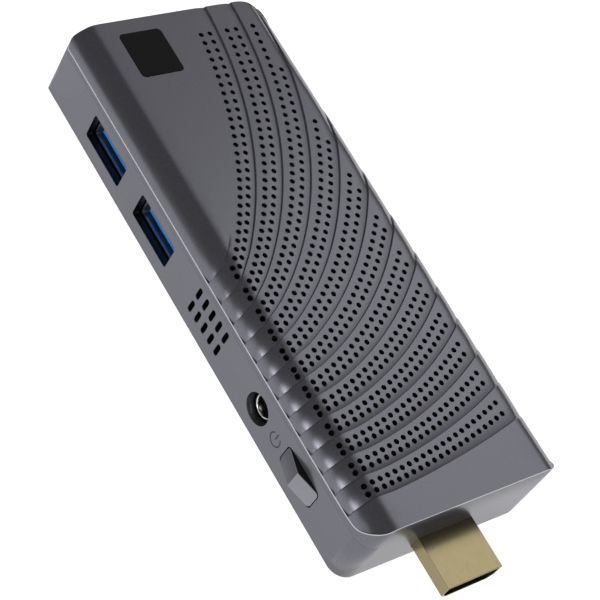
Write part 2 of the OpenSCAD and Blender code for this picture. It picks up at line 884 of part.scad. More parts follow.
// Power inlet: moulded block on the board, bored for the plug
module inlet_body() {
    x = x_plug - inlet_x;
    color("#1e1e21")
    difference() {
        union() {
            translate([x - inlet_w / 2, usb_front + inlet_nose, board_top])
                cube([inlet_w, inlet_l - inlet_nose, inlet_h]);
            bar_y(x, usb_front, inlet_z, inlet_nose_r, inlet_nose + 1);
        }
        bar_y(x, usb_front - 1, inlet_z, inlet_bore_r + sleeve_t + fit / 4, sleeve_l + 1);
        bar_y(x, usb_front - 1, inlet_z, inlet_bore_r, inlet_deep + 1);
    }
}

// Metal sleeve lining the mouth of the power inlet
module inlet_sleeve() {
    x = x_plug - inlet_x;
    color("#c4c5ca")
    difference() {
        bar_y(x, usb_front, inlet_z, inlet_bore_r + sleeve_t, sleeve_l);
        bar_y(x, usb_front - 1, inlet_z, inlet_bore_r, sleeve_l + 2);
    }
}

// Centre pin of the power inlet
module inlet_pin() {
    x = x_plug - inlet_x;
    y1 = usb_front + inlet_deep;
    color("#c4c5ca") {
        bar_y(x, y1 - pin_l, inlet_z, pin_r, pin_l);
        translate([x, y1 - pin_l, inlet_z])
            sphere(r = pin_r);
    }
}

// Processor: carrier with its bare die on top
module processor() {
    color("#2a5b3a") {
        box(chip_l, chip_w, chip_t, cool_at, board_top);
        box(die_l, die_w, chip_t + die_t, cool_at, board_top);
    }
}

// Thermal pad between the die and the heatsink
module thermal_pad() {
    color("#b7bcc4")
    box(die_l, die_w, pad_t, cool_at, board_top + chip_t + die_t);
}

// Heatsink: plate under the blower, fins at the side vent and four legs on the board
module heatsink() {
    color("#9a9ca2")
    difference() {
        union() {
            box(fan_w, fan_w, plate_t, cool_at, plate_z);
            translate([vent_x - fin_w / 2, fin_y0, plate_z])
                cube([fin_w, fan_y0 - fin_y0 + 1, plate_t]);
            for (i = [0:fins - 1])
                translate([vent_x - fin_w / 2 + i * fin_pitch, fin_y0, plate_z])
                    cube([fin_t, fan_y0 - fin_y0 - fin_clear, plate_t + fin_h]);
            for (p = leg_at)
                translate([p[0], p[1], board_top])
                    cylinder(r = leg_r, h = plate_z - board_top + plate_t / 2);
        }
        for (p = leg_at)
            translate([p[0], p[1], board_top - 1])
                cylinder(r = leg_screw_r + fit / 2, h = leg_grip + 1 + fit);
        for (p = fan_screw_at)
            translate([p[0], p[1], fan_z - plate_t])
                cylinder(r = fan_screw_r + fit / 2, h = plate_t + 1);
    }
}

// Screws that hold the heatsink from under the board
module heatsink_screws() {
    color("#c4c5ca")
    for (p = leg_at)
        translate([p[0], p[1], board_z - pillar_head_h]) {
            cylinder(r = pillar_head_r, h = pillar_head_h);
            cylinder(r = leg_screw_r, h = pillar_head_h + board_t + leg_grip);
        }
}

// Blower frame: floor, scroll wall with its outlet at the fins, and the bearing boss
module fan_frame() {
    color("#202024")
    difference() {
        union() {
            difference() {
                translate([vent_x, fan_mid_y, fan_z])
                    linear_extrude(fan_h - fan_lid_t)
                        plate_2d(fan_w, fan_w, fan_corner);
                translate([vent_x, fan_mid_y, fan_z + fan_floor]) {
                    cylinder(r = fan_w / 2 - fan_wall, h = fan_h);
                    translate([-fan_w / 5, -fan_w, 0])
                        cube([fan_w / 5 + fan_w / 2 - fan_wall, fan_w, fan_h]);
                }
            }
            translate([vent_x, fan_mid_y, fan_z])
                cylinder(r = bearing_r, h = fan_floor + bearing_h);
        }
        translate([vent_x, fan_mid_y, fan_z + fan_floor / 2])
            cylinder(r = shaft_r + shaft_gap, h = fan_h);
        for (p = fan_screw_at)
            translate([p[0], p[1], fan_z - 1])
                cylinder(r = fan_screw_r + fit, h = fan_h + 2);
    }
}

// Blower lid with the round inlet
module fan_lid() {
    color("#2c2c30")
    difference() {
        translate([vent_x, fan_mid_y, fan_z + fan_h - fan_lid_t])
            linear_extrude(fan_lid_t)
                plate_2d(fan_w, fan_w, fan_corner);
        translate([vent_x, fan_mid_y, fan_z])
            cylinder(r = wheel_r - fan_lip, h = fan_h + 1);
        for (p = fan_screw_at)
            translate([p[0], p[1], fan_z])
                cylinder(r = fan_screw_r + fit, h = fan_h + 1);
    }
}

// Windings of the blower motor, round the bearing boss
module fan_coil() {
    color("#a9683a")
    translate([vent_x, fan_mid_y, fan_z + fan_floor])
        difference() {
            cylinder(r = coil_r, h = bearing_h - coil_drop);
            translate([0, 0, -1])
                cylinder(r = bearing_r + fit / 2, h = bearing_h + 2);
        }
}

// Blower wheel: cup-shaped hub with leaning blades
module fan_wheel() {
    tall = wheel_z1 - wheel_z0;
    color("#2a2a2e")
    translate([vent_x, fan_mid_y, wheel_z0]) {
        difference() {
            cylinder(r = hub_r, h = tall);
            translate([0, 0, -1])
                cylinder(r = hub_r - hub_t, h = tall - hub_t + 1);
        }
        for (i = [0:blades - 1])
            rotate(i * 360 / blades)
                translate([hub_r - hub_t / 2, 0, 0])
                    rotate(blade_lean)
                        translate([0, -blade_t / 2, 0])
                            cube([blade_l, blade_t, tall]);
    }
}

// Shaft of the blower wheel, running in the bearing boss
module fan_shaft() {
    z0 = fan_z + fan_floor / 2 + fit;
    color("#c4c5ca")
    translate([vent_x, fan_mid_y, z0])
        cylinder(r = shaft_r, h = wheel_z1 - hub_t - z0);
}

// Screws that hold the blower to the heatsink plate
module fan_screws() {
    color("#c4c5ca")
    for (p = fan_screw_at)
        translate([p[0], p[1], fan_z + fan_h]) {
            cylinder(r = fan_screw_head_r, h = pillar_head_h);
            translate([0, 0, -fan_h - plate_t + 2 * fit])
                cylinder(r = fan_screw_r, h = fan_h + plate_t);
        }
}

// Two-wire lead from the blower down to its socket
module fan_lead() {
    fall = fan_z + wire_up - board_top - fan_plug_h / 2;
    color("#a02a24")
    for (y = [-1, 1])
        translate([vent_x + fan_w / 2, lead_y + y * wire_apart / 2, fan_z + wire_up])
            rotate([0, 90 + atan2(fall, lead_l), 0])
                translate([0, 0, wire_r])
                    cylinder(r = wire_r, h = sqrt(fall * fall + lead_l * lead_l) - 2 * wire_r);
}

// Socket for the blower's lead
module fan_socket() {
    color("#d8d4c4")
    translate([vent_x + fan_w / 2 + lead_l, lead_y - fan_plug_w / 2, board_top])
        cube([fan_plug_l, fan_plug_w, fan_plug_h]);
}

// Memory chips, a pair beside the heatsink
module memory_chips() {
    color("#232326")
    for (p = ram_at)
        box(ram_l, ram_w, ram_t, p, board_top);
}

// Storage chip
module storage_chip() {
    color("#232326")
    box(store_l, store_w, ram_t, [store_x, store_y], board_top);
}

// Carrier board of the wireless module
module wireless_board() {
    color("#20603e")
    translate([radio_x, radio_y, board_top])
        cube([radio_l, radio_w, radio_t]);
}

// Folded metal can over the wireless chips
module wireless_can() {
    color("#c4c5ca")
    translate([radio_x + can_in, radio_y + can_in, board_top + radio_t])
        difference() {
            cube([radio_l - 2 * can_in, radio_w - 2 * can_in, can_h]);
            translate([can_t, can_t, -1])
                cube([radio_l - 2 * can_in - 2 * can_t, radio_w - 2 * can_in - 2 * can_t, can_h - can_t + 1]);
        }
}

// Flat aerial stuck to the inside of the blank end wall
module aerial() {
    color("#3a3226")
    translate([x_blank + wall, aerial_y - aerial_l / 2, board_top + aerial_up])
        cube([aerial_t, aerial_l, aerial_h]);
}

// Thin lead from the aerial to its press-on plug on the wireless can
module aerial_lead() {
    x0 = x_blank + wall + aerial_t;
    x1 = radio_x + radio_l / 2;
    color("#2c2c2e") {
        translate([x0, aerial_y, coax_z])
            rotate([0, 90, 0])
                cylinder(r = coax_r, h = x1 - x0);
        translate([x1, aerial_y, board_top + radio_t + can_h])
            cylinder(r = coax_plug_r, h = coax_z - board_top - radio_t - can_h + coax_r);
    }
}

// Holder for the clock cell: shallow cup with a gap to slide the cell out
module cell_clip() {
    color("#2b2b2e")
    translate([cell_x, cell_y, board_top])
        difference() {
            cylinder(r = clip_r, h = clip_t + cell_t * cell_side);
            translate([0, 0, clip_t])
                cylinder(r = cell_r + fit, h = cell_t);
            translate([-cell_r * clip_gap, 0, clip_t])
                cube([2 * cell_r * clip_gap, 2 * cell_r, cell_t]);
        }
}

// Clock cell: round can with a smaller raised face
module clock_cell() {
    color("#c9cacd")
    translate([cell_x, cell_y, board_top + clip_t]) {
        cylinder(r = cell_r, h = cell_t * cell_side);
        cylinder(r = cell_r - 1, h = cell_t);
    }
}

// Card socket: sheet-metal housing, open at the far wall
module card_socket() {
    y1 = y_far - wall - fit;
    color("#b9bac0")
    difference() {
        translate([card_mid - card_w / 2, y1 - card_l, board_top])
            cube([card_w, card_l, card_h]);
        translate([card_mid - card_slot_w / 2, y1 - card_l + card_stop, board_top + card_t])
            cube([card_slot_w, card_l, card_h - 2 * card_t]);
    }
}

// Sound jack: block on the board with a round nose through the far wall
module sound_jack() {
    y1 = y_far - wall - fit;
    nose = wall - fit;
    color("#1e1e21")
    difference() {
        union() {
            translate([sound_mid - sound_w / 2, y1 - sound_l, board_top])
                cube([sound_w, sound_l, sound_h]);
            bar_y(sound_mid, y1 - 1, sound_z, sound_nose_r, nose + 1);
        }
        bar_y(sound_mid, y1 + nose - sound_deep, sound_z, sound_r, sound_deep + 1);
    }
}

// Power controller chip beside the inlet
module power_chip() {
    color("#232326")
    box(power_chip_w, power_chip_w, power_chip_t, [x_plug - sound_x, y_port + power_chip_y], board_top);
}

// Power inductors in a row
module inductors() {
    color("#4a4a4e")
    for (i = [0:coils - 1])
        box(coil_w, coil_w, coil_h, [coil_x + i * coil_pitch, coil_y], board_top);
}

// Ceramic capacitors in a row
module capacitors() {
    color("#b59a6c")
    for (i = [0:caps - 1])
        box(cap_l, cap_w, cap_w, [coil_x + i * cap_pitch, coil_y - coil_w / 2 - cap_off], board_top);
}

// Screws that hold the circuit board on its pillars
module board_screws() {
    color("#c4c5ca")
    for (p = pillar_at)
        translate([p[0], p[1], board_top]) {
            cylinder(r = pillar_head_r, h = pillar_head_h);
            translate([0, 0, -pillar_screw_l])
                cylinder(r = pillar_screw_r, h = pillar_screw_l);
        }
}

// Case screws, from below through the posts into the cover's bosses
module case_screws() {
    color("#8e9096")
    for (x = [-1, 1], y = [-1, 1])
        translate([x * post_x, y * post_y, head_deep]) {
            cylinder(r = head_r, h = head_h);
            cylinder(r = screw_r, h = post_top - head_deep + boss_grip);
        }
}

bottom_case();
top_cover();
badge();
power_key();
switch_body();
switch_plunger();
main_board();
hdmi_shell();
hdmi_insert();
hdmi_contacts();
usb_shell_1();
usb_shell_2();
usb_tongue_1();
usb_tongue_2();
usb_contacts_1();
usb_contacts_2();
inlet_body();
inlet_sleeve();
inlet_pin();
processor();
thermal_pad();
heatsink();
heatsink_screws();
fan_frame();
fan_lid();
fan_coil();
fan_wheel();
fan_shaft();
fan_screws();
fan_lead();
fan_socket();
memory_chips();
storage_chip();
wireless_board();
wireless_can();
aerial();
aerial_lead();
cell_clip();
clock_cell();
card_socket();
sound_jack();
power_chip();
inductors();
capacitors();
board_screws();
case_screws();
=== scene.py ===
import math

import bmesh
import bpy
import numpy as np
from mathutils import Matrix, Vector
from mathutils.geometry import delaunay_2d_cdt


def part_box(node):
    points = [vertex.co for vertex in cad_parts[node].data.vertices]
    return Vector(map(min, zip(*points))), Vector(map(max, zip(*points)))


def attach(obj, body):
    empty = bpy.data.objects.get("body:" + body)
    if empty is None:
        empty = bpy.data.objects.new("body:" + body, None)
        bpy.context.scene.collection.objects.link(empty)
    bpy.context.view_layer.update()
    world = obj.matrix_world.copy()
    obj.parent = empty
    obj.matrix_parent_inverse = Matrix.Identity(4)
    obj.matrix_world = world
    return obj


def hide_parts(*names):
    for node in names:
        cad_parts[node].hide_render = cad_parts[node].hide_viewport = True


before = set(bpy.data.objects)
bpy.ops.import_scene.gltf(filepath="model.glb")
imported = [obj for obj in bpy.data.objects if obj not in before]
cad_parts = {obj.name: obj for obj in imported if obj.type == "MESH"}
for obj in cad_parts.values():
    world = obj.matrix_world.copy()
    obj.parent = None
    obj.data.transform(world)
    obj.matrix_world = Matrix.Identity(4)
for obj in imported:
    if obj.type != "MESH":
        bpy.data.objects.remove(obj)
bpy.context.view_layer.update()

# Tray: the lower half of the case, which carries the board and every socket.
# Injection-moulded black ABS, sprayed from outside with a metallic lacquer, so the inside and the openings stay bare;
# that dull black in the openings also stands in as painted shade.
mm = 0.001
sprayed_x, sprayed_y, sprayed_z = 59.85, 23.85, 0.4
corner_x, corner_y = 51.8, 15.8
inlet_x, inlet_z, inlet_hole_r = 24.9, 6.5, 3.6


def linear(code):
    """sRGB hex colour as a linear colour."""
    shares = [int(code[i:i + 2], 16) / 255 for i in (1, 3, 5)]
    return [s / 12.92 if s <= 0.04045 else ((s + 0.055) / 1.055) ** 2.4 for s in shares] + [1.0]


def add_node(material, kind, inputs=None, **settings):
    """A shader node with its settings; an input is a value, or a node and the name of its output."""
    made = material.node_tree.nodes.new(kind)
    for key, value in settings.items():
        setattr(made, key, value)
    for key, value in (inputs or {}).items():
        if isinstance(value, tuple) and isinstance(value[0], bpy.types.Node):
            material.node_tree.links.new(value[0].outputs[value[1]], made.inputs[key])
        else:
            made.inputs[key].default_value = value
    return made


def finish(name, dark, light, patch_mm, grain_mm, depth_mm, rough, stretch=(1, 1, 1), bare=None, **skin):
    """A surface whose tone wanders between two colours in patches, with a grain pressed into it."""
    made = bpy.data.materials.new(name)
    made.use_nodes = True
    made.node_tree.nodes.clear()
    place = add_node(made, "ShaderNodeTexCoord")
    drawn = add_node(made, "ShaderNodeMapping", {"Vector": (place, "Object"), "Scale": stretch})
    patch = add_node(made, "ShaderNodeTexNoise", {
        "Vector": (drawn, "Vector"), "Scale": 1 / (patch_mm * mm), "Detail": 4.0})
    tone = add_node(made, "ShaderNodeMix", {
        "Factor": (patch, "Fac"), "A": linear(dark), "B": linear(light)}, data_type="RGBA")
    grain = add_node(made, "ShaderNodeTexNoise", {
        "Vector": (drawn, "Vector"), "Scale": 1 / (grain_mm * mm), "Detail": 2.0})
    press = add_node(made, "ShaderNodeBump", {"Height": (grain, "Fac"), "Strength": 0.5, "Distance": depth_mm * mm})
    haze = add_node(made, "ShaderNodeMapRange", {
        "Value": (grain, "Fac"), "To Min": rough - 0.05, "To Max": rough + 0.05})
    if bare:
        flakes = add_node(made, "ShaderNodeMapRange", {
            "Value": bare(made, place), "To Min": skin["Metallic"], "To Max": 0.0})
        skin["Metallic"] = (flakes, "Result")
        # Where the mask is 1 the tone turns dull black; on the tray this is partly painted shade in the openings.
        tone = add_node(made, "ShaderNodeMix", {
            "Factor": bare(made, place), "A": (tone, "Result"), "B": linear("#131315")}, data_type="RGBA")
    coat = add_node(made, "ShaderNodeBsdfPrincipled", {
        "Base Color": (tone, "Result"),
        "Roughness": (haze, "Result"),
        "Normal": (press, "Normal"),
        **skin,
    })
    add_node(made, "ShaderNodeOutputMaterial", {"Surface": (coat, "BSDF")})
    return made


def unsprayed_with_painted_shade(made, place):
    """1 on the tray's inside and in its openings, except in a band round the power inlet, 0 on the skin that the
    spray reaches; the dull black it gives the openings is partly painted shade.
    """
    size = add_node(made, "ShaderNodeVectorMath", {0: (place, "Object")}, operation="ABSOLUTE")
    x_y_z = add_node(made, "ShaderNodeSeparateXYZ", {"Vector": (size, "Vector")})
    held = None
    for axis, limit in (("X", sprayed_x), ("Y", sprayed_y)):
        under = add_node(made, "ShaderNodeMath", {0: (x_y_z, axis), 1: limit * mm}, operation="LESS_THAN")
        held = add_node(made, "ShaderNodeMath", {
            0: (under, "Value"), 1: (held, "Value") if held else 1.0}, operation="MULTIPLY")
    above = add_node(made, "ShaderNodeMath", {0: (x_y_z, "Z"), 1: sprayed_z * mm}, operation="GREATER_THAN")
    by_x = add_node(made, "ShaderNodeMath", {0: (x_y_z, "X"), 1: corner_x * mm}, operation="LESS_THAN")
    by_y = add_node(made, "ShaderNodeMath", {0: (x_y_z, "Y"), 1: corner_y * mm}, operation="LESS_THAN")
    straight = add_node(made, "ShaderNodeMath", {0: (by_x, "Value"), 1: (by_y, "Value")}, operation="MAXIMUM")
    signed = add_node(made, "ShaderNodeSeparateXYZ", {"Vector": (place, "Object")})
    round_hole = add_node(made, "ShaderNodeMath", {
        0: (signed, "X"), 1: inlet_x * mm, 2: inlet_hole_r * mm}, operation="COMPARE")
    straight = add_node(made, "ShaderNodeMath", {
        0: (straight, "Value"), 1: (round_hole, "Value")}, operation="SUBTRACT")
    within = add_node(made, "ShaderNodeMath", {0: (held, "Value"), 1: (above, "Value")}, operation="MULTIPLY")
    both = add_node(made, "ShaderNodeMath", {0: (within, "Value"), 1: (straight, "Value")}, operation="MULTIPLY")
    return both, "Value"


def dress(material, *names):
    """The CAD pieces of these names take this material."""
    for name in names:
        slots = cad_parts[name].data.materials
        slots.clear()
        slots.append(material)


def ease_edges(name, size_mm, steps=2):
    """The sharp edges of a CAD piece are rounded a little, as a mould or a press leaves them."""
    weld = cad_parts[name].modifiers.new("weld", "WELD")
    weld.merge_threshold = 0.002 * mm
    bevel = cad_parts[name].modifiers.new("eased", "BEVEL")
    bevel.width = size_mm * mm
    bevel.segments = steps
    bevel.limit_method = "ANGLE"
    bevel.angle_limit = math.radians(50)
    bevel.use_clamp_overlap = True


# Metallic lacquer: flakes half a millimetre apart as drawn, coarser than real so that they show.
lacquer = finish("metallic_lacquer_sprayed_on_abs", "#73737c", "#7b7b84", 0.5, 0.2, 0.001, 0.29, Metallic=0.6)
# The same lacquer on the tray, ending at the openings: there dull black plastic shows, which also serves as painted
# shade in the openings.
tray_skin = finish(
    "metallic_lacquer_over_bare_abs_painted_shade", "#73737c", "#7b7b84", 0.5, 0.2, 0.001, 0.29, bare=unsprayed_with_painted_shade, Metallic=0.6)
# Bare ABS: fine spark-eroded mould texture, dull black; on the key's sides and the cover's inside and holes it also
# stands in as painted shade.
black_abs = finish("moulded_black_abs", "#131315", "#19191c", 3.0, 0.3, 0.01, 0.5)
dress(tray_skin, "bottom_case")
ease_edges("bottom_case", 0.06)

# Power key: a roof-shaped key that slides in the wall, with ears behind it and a stem to the switch.
# Moulded black ABS, lacquered on its face alone, so its black sides also stand in as painted shade in the gap round
# it; the half towards the blank end is etched for grip and painted darker as painted shade, the other half painted
# lighter as a painted highlight.
key_x, key_z, key_half, key_tall, key_corner = 40.5, 6.85, 5.45, 4.9, 0.8
key_front, key_proud, key_back, key_round = -24.0, 1.5, -21.3, 0.12
ear_y, ear_long, ear_thick, ear_round = -21.7, 12.9, 0.8, 0.15
key_steps, ridge_flat, ridge_soft = 20, 0.06, 0.1


def settle(bm, name, body, materials, stands_for=None):
    """Turns a finished form into a piece of the object, riding on a body."""
    bmesh.ops.remove_doubles(bm, verts=bm.verts, dist=1e-6)
    bmesh.ops.recalc_face_normals(bm, faces=bm.faces)
    mesh = bpy.data.meshes.new(name)
    bm.to_mesh(mesh)
    bm.free()
    mesh.polygons.foreach_set("use_smooth", [True] * len(mesh.polygons))
    mesh.set_sharp_from_angle(angle=math.radians(35))
    for material in materials:
        mesh.materials.append(material)
    made = bpy.data.objects.new(name, mesh)
    bpy.context.scene.collection.objects.link(made)
    if stands_for:
        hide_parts(stands_for)
    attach(made, body)
    return made


def spin(bm, profile, middle, axis, coat=0, sides=40):
    """A turned form: radius and height of each step, round an axis (1 for y, 2 for z)."""
    rings = []
    for radius, height in profile:
        ring = []
        for i in range(sides):
            a = 2 * math.pi * i / sides
            flat = (middle[0] + radius * math.cos(a), middle[1] + radius * math.sin(a))
            spot = (flat[0], height, flat[1]) if axis == 1 else (flat[0], flat[1], height)
            ring.append(bm.verts.new(Vector(spot) * mm))
        rings.append(ring)
    for low, high in zip(rings, rings[1:]):
        for i in range(sides):
            bm.faces.new((low[i], low[(i + 1) % sides], high[(i + 1) % sides], high[i])).material_index = coat
    return rings


# Etched face: the lacquer over a coarse grip texture, duller than the smooth half, and painted darker as painted
# shade.
grip = finish("metallic_lacquer_over_etched_grip_painted_shade", "#4c4c53", "#5d5d65", 0.3, 0.2, 0.02, 0.42, Metallic=0.8)
# Smooth face: the same lacquer over a polished mould, with less flake in it, and painted a shade lighter as a painted
# highlight.
smooth = finish("metallic_lacquer_on_polished_abs_painted_highlight", "#94949c", "#9c9ca4", 0.5, 0.2, 0.001, 0.35, Metallic=0.55)
bm = bmesh.new()
rows = []
for u in sorted([-key_half + key_half * i / key_steps for i in range(2 * key_steps + 1)] + [-ridge_flat, ridge_flat]):
    over = max(0, abs(u) - (key_half - key_corner))
    tall = key_tall / 2 - key_corner + math.sqrt(max(0, key_corner ** 2 - over ** 2))
    front = key_front - key_proud * (1 - math.sqrt(u * u + ridge_soft ** 2) / key_half)
    outline = [(tall, key_back), (tall, front + key_round)]
    outline += [(tall - key_round * 0.3, front + key_round * 0.3), (tall - key_round, front)]
    outline += [(-z, y) for z, y in reversed(outline)]
    rows.append([bm.verts.new(Vector((key_x + u, y, key_z + z)) * mm) for z, y in outline])
for i, (a, b) in enumerate(zip(rows, rows[1:])):
    for k in range(8):
        face = bm.faces.new((a[k], a[(k + 1) % 8], b[(k + 1) % 8], b[k]))
        # The key's top, bottom and back take bare black ABS, which also stands in as painted shade in the gap round
        # the key.
        face.material_index = (0, 1, 1, 2 if i < key_steps else 3, 1, 1, 0, 0)[k]
bm.faces.new(rows[0])
bm.faces.new(rows[-1])
ear_size = Matrix.Diagonal((ear_long * mm, ear_thick * mm, key_tall * mm, 1))
ears = bmesh.ops.create_cube(bm, size=1, matrix=Matrix.Translation(Vector((key_x, ear_y, key_z)) * mm) @ ear_size)
ear_edges = [e for e in bm.edges if set(e.verts) <= set(ears["verts"])]
bmesh.ops.bevel(bm, geom=ear_edges, offset=ear_round * mm, segments=2, affect="EDGES")
stem = spin(bm, [(1.4, -21.4), (1.4, -19.4), (1.3, -19.3)], (key_x, key_z), 1)
bm.faces.new(stem[-1])
bm.faces.new(stem[0])
settle(bm, "key", "key", (black_abs, lacquer, grip, smooth), "power_key")

# Power mark: the common ring with a gap and a bar, beside the key.
# One pass of dark ink, pad-printed on the lacquer.
mark_x, mark_z, mark_r, mark_line = 31.8, 6.45, 1.5, 0.26
mark_gap, mark_front, mark_back = 38, -24.02, -23.98
# Pad-printing ink: dull, dark grey, slightly broken where it is thin.
ink = finish("pad_printed_ink", "#161618", "#26262a", 0.6, 0.2, 0.005, 0.55)
bm = bmesh.new()
turns = [math.radians(90 + mark_gap + (360 - 2 * mark_gap) * i / 40) for i in range(41)]
radii = [mark_r + side * mark_line / 2 for side in (-1, 1)]
runs = [[(r * math.cos(a), r * math.sin(a)) for r in radii] for a in turns]
bar = [[(-mark_line / 2, h), (mark_line / 2, h)] for h in (0.1, mark_r + 0.25)]
for run in (runs, bar):
    strips = []
    for pair in run:
        spots = [(mark_x + x, y, mark_z + z) for y in (mark_front, mark_back) for x, z in pair]
        strips.append([bm.verts.new(Vector(s) * mm) for s in spots])
    for a, b in zip(strips, strips[1:]):
        for k, m in ((0, 1), (1, 3), (3, 2), (2, 0)):
            bm.faces.new((a[k], a[m], b[m], b[k]))
    for end in (strips[0], strips[-1]):
        bm.faces.new((end[0], end[1], end[3], end[2]))
settle(bm, "power_mark", "stick", (ink,))

# Switch behind the key: a side-push switch soldered to the board.
# Black moulded housing, pale nylon plunger that the key's stem meets.
# Glass-filled nylon: slightly uneven, dull.
black_nylon = finish("moulded_glass_filled_nylon", "#1a1a1d", "#222226", 0.8, 0.25, 0.008, 0.42)
# Natural nylon: milky, satin, with faint flow marks.
pale_nylon = finish("moulded_natural_nylon", "#d8d2c0", "#e6e1d2", 1.2, 0.4, 0.004, 0.38)
dress(black_nylon, "switch_body")
dress(pale_nylon, "switch_plunger", "fan_socket")

# Main board: carries every socket and chip, held down by four screws on the tray's pillars.
# Glass-fibre laminate under a matt black solder mask.
# Solder mask: matt, with the weave of the glass cloth just showing through.
laminate = finish("matt_solder_mask_on_glass_laminate", "#15191a", "#1d2423", 1.5, 0.5, 0.006, 0.45)
dress(laminate, "main_board", "wireless_board")

# HDMI plug: a folded shell that stands out of the end wall, its filler and two rows of contacts.
# Gold-plated steel shell pressed over a black moulded insert.
# Gold plating: pale and warm, drawn lengthwise by the press, with a soft shine.
gold = finish(
    "gold_plated_pressed_steel", "#8f8463", "#9a8f6d", 0.6, 0.25, 0.001, 0.2, stretch=(0.2, 1, 1), Metallic=1.0)
dress(gold, "hdmi_shell", "hdmi_contacts")
dress(black_nylon, "hdmi_insert")
ease_edges("hdmi_shell", 0.07)

# USB sockets: two folded shells with a blue tongue and its contacts, soldered to the board behind the wall.
# Tinned sheet steel, blue nylon tongue, gold-plated contact strips.
# Tinned steel: bright grey, rolled lengthwise, with a hazy shine.
steel = finish(
    "tinned_rolled_steel", "#b4b5bb", "#c8c9ce", 0.5, 0.2, 0.002, 0.32, stretch=(1, 0.25, 1), Metallic=1.0)
# Blue nylon: strong even colour, satin.
blue = finish("moulded_blue_nylon", "#45a0ff", "#62b4ff", 0.8, 0.3, 0.004, 0.35)
for socket in ("1", "2"):
    dress(steel, "usb_shell_" + socket)
    dress(blue, "usb_tongue_" + socket)
    dress(gold, "usb_contacts_" + socket)
    ease_edges("usb_shell_" + socket, 0.08)

# Power inlet: a round socket behind a hole in the wall, with a metal sleeve and a centre pin.
# Black moulded block; the sleeve is drawn nickel-plated brass with a rolled lip over the block's nose.
# Nickel plating: bright, clear shine.
nickel = finish("nickel_plated_drawn_brass", "#c9c8c6", "#d8d7d4", 0.8, 0.3, 0.001, 0.16, Metallic=1.0)
dress(black_nylon, "inlet_body")
dress(nickel, "inlet_pin")
bm = bmesh.new()
sleeve_r, bore_r, sleeve_back = 2.4, 2.15, -16.1
lip = [(2.5, -22.12), (2.62, -22.18), (2.66, -22.26), (2.6, -22.34), (2.45, -22.38), (2.3, -22.34), (2.18, -22.2)]
sleeve = [(sleeve_r, sleeve_back), (sleeve_r, -22.1), *lip, (bore_r, -22.0), (bore_r, sleeve_back)]
spin(bm, sleeve + sleeve[:1], (inlet_x, inlet_z), 1)
settle(bm, "inlet_lining", "stick", (nickel,), "inlet_sleeve")

# Card slot and sound jack: in the far wall, soldered to the board.
# A folded steel cage for a small card, and a black moulded jack for a 3.5 mm plug.
dress(steel, "card_socket")
dress(black_nylon, "sound_jack")

# Processor and its cooler: chip, soft pad and finned plate, screwed down through the board.
# Epoxy-moulded chip, grey silicone pad, black anodised aluminium with fins at the side vent, steel screws.
# Chip resin: dull black, faintly pitted.
resin = finish("moulded_epoxy_resin", "#1b1b1e", "#232327", 0.6, 0.2, 0.006, 0.5)
# Silicone pad: soft grey, dull, with a fine powdery grain.
silicone = finish("filled_silicone_sheet", "#7d8288", "#8d9298", 0.8, 0.25, 0.01, 0.7)
# Black anodised aluminium: satin dark grey with fine lines along the die.
aluminium = finish(
    "black_anodised_extruded_aluminium", "#26272a", "#333438", 0.6, 0.2, 0.004, 0.35, stretch=(1, 0.08, 1),
    Metallic=0.6)
# Zinc-plated steel: cool grey, turned rings too fine to show, so a soft grain stands for them.
screw_steel = finish("zinc_plated_steel", "#a9acb2", "#bfc2c8", 0.5, 0.2, 0.003, 0.28, Metallic=1.0)
dress(resin, "processor", "memory_chips", "storage_chip", "power_chip", "inductors")
dress(silicone, "thermal_pad")
dress(aluminium, "heatsink")
dress(screw_steel, "heatsink_screws", "fan_screws", "fan_shaft", "board_screws")

# Blower: frame, coil, wheel on its shaft, and lid, screwed to the cooler's plate under the vent holes.
# Black moulded plastic round an enamelled copper coil, with a two-wire lead to a socket on the board.
# Enamelled copper: warm orange-brown, wound in fine rings drawn 0.3 mm apart.
copper = finish(
    "enamelled_copper_wire", "#a4532a", "#c06a38", 0.4, 0.3, 0.02, 0.3, stretch=(1, 1, 4), Metallic=0.9)
# Lead sheath: soft black PVC, satin.
sheath = finish("extruded_pvc_sheath", "#17171a", "#202024", 0.6, 0.25, 0.004, 0.45)
dress(black_nylon, "fan_frame", "fan_lid", "fan_wheel")
dress(copper, "fan_coil", "aerial")
dress(sheath, "fan_lead", "aerial_lead")

# Radio and clock cell: a small board under a can with an aerial on the blank wall, and a cell in its holder.
# Tinned steel can and cell, copper foil aerial, black moulded holder.
dress(steel, "wireless_can", "clock_cell")
dress(black_nylon, "cell_clip")

# Small parts by the plug: capacitors beside the power coils, soldered to the board.
# Fired ceramic blocks, dark brown.
# Fired ceramic: even dark brown, dry and dull.
ceramic = finish("fired_ceramic", "#3d352d", "#4a4036", 0.5, 0.2, 0.006, 0.6)
dress(ceramic, "capacitors")

# Cover: the lid with round shoulders, a fan of ridges and rows of vent holes.
# The same moulding and lacquer as the tray, bare black ABS inside and in the holes, which also stands in as painted
# shade in the holes.
length, width, side_h, shoulder, seam_z = 120.0, 48.0, 13.2, 5.2, 12.0
skin_t, edge_r, ledge, slope = 0.8, 0.22, 0.1, 0.3
corner_r = {(1, -1): 3.8, (1, 1): 3.8, (-1, 1): 8.0, (-1, -1): 1.0}
ridges, vent_r, vent_step, vent_sides, second_row = 12, 0.58, 2.2, 14, 0.345
vents_from, vents_clear = 3.4, 7.0
arc_foot = (-8.3, -4.72, 0.1184, -0.0084)
arc_lean = (2.04, -0.19, 0.488, -0.0093)
arc_bend = (0.0056, 0.003546, -0.0006365, 0.0000471, -0.00000139)
arc_base, drift_from, drift = 2.94, 3.4, 0.4
roll_wide, roll_deep, step_wide = 0.5, 0.36, 0.035
toe_wide, toe_deep, toe_step, bend = 0.85, 0.7, 0.08, 0.4
